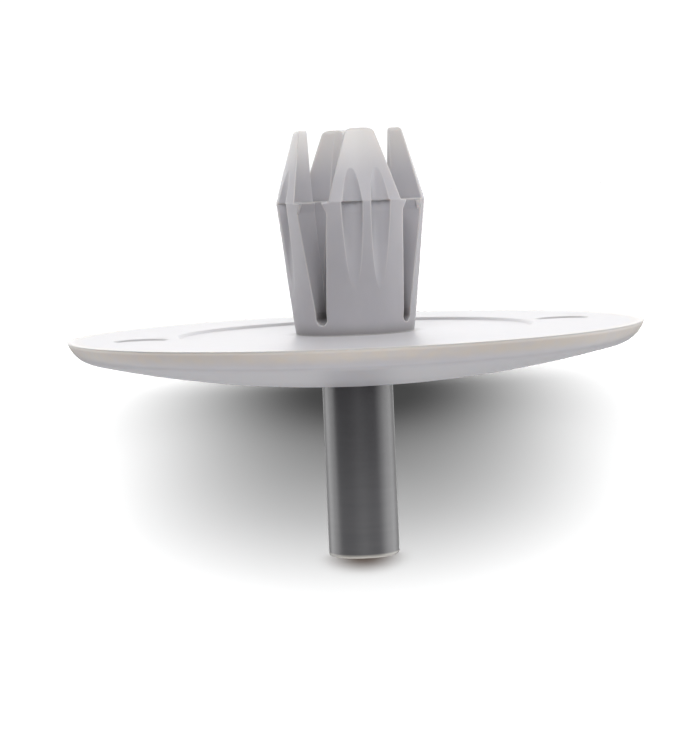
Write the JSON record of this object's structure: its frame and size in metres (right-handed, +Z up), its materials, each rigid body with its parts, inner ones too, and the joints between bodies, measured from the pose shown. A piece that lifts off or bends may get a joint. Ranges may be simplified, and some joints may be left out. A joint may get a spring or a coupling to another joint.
{
  "type": "plastic push rivet",
  "caption": "Push rivet with a wide shallow domed head, a split shank of fluted fingers with a barb, and a round drive pin standing out of the dome, ready to be pushed home.",
  "frame": {"origin": "on the shank's axis, in the plane of the head's flat seat that lies on the panel", "axes": "+Z up the shank towards the finger tips; the domed face and the drive pin lie at -Z; the fingers lie on +X, +Y, -X and -Y"},
  "size_m": [0.034, 0.034, 0.0252],
  "materials": {
    "retainer_plastic": "light grey moulded plastic, satin",
    "pin_plastic": "light grey moulded plastic, satin"
  },
  "bodies": {
    "retainer": {"retainer": "retainer_plastic"},
    "drive_pin": {"drive_pin": "pin_plastic"}
  },
  "joints": [
    {"name": "pin_drive", "type": "slide", "parent": "retainer", "child": "drive_pin", "axis": [0, 0, 1], "range_m": [0, 0.01033]}
  ]
}
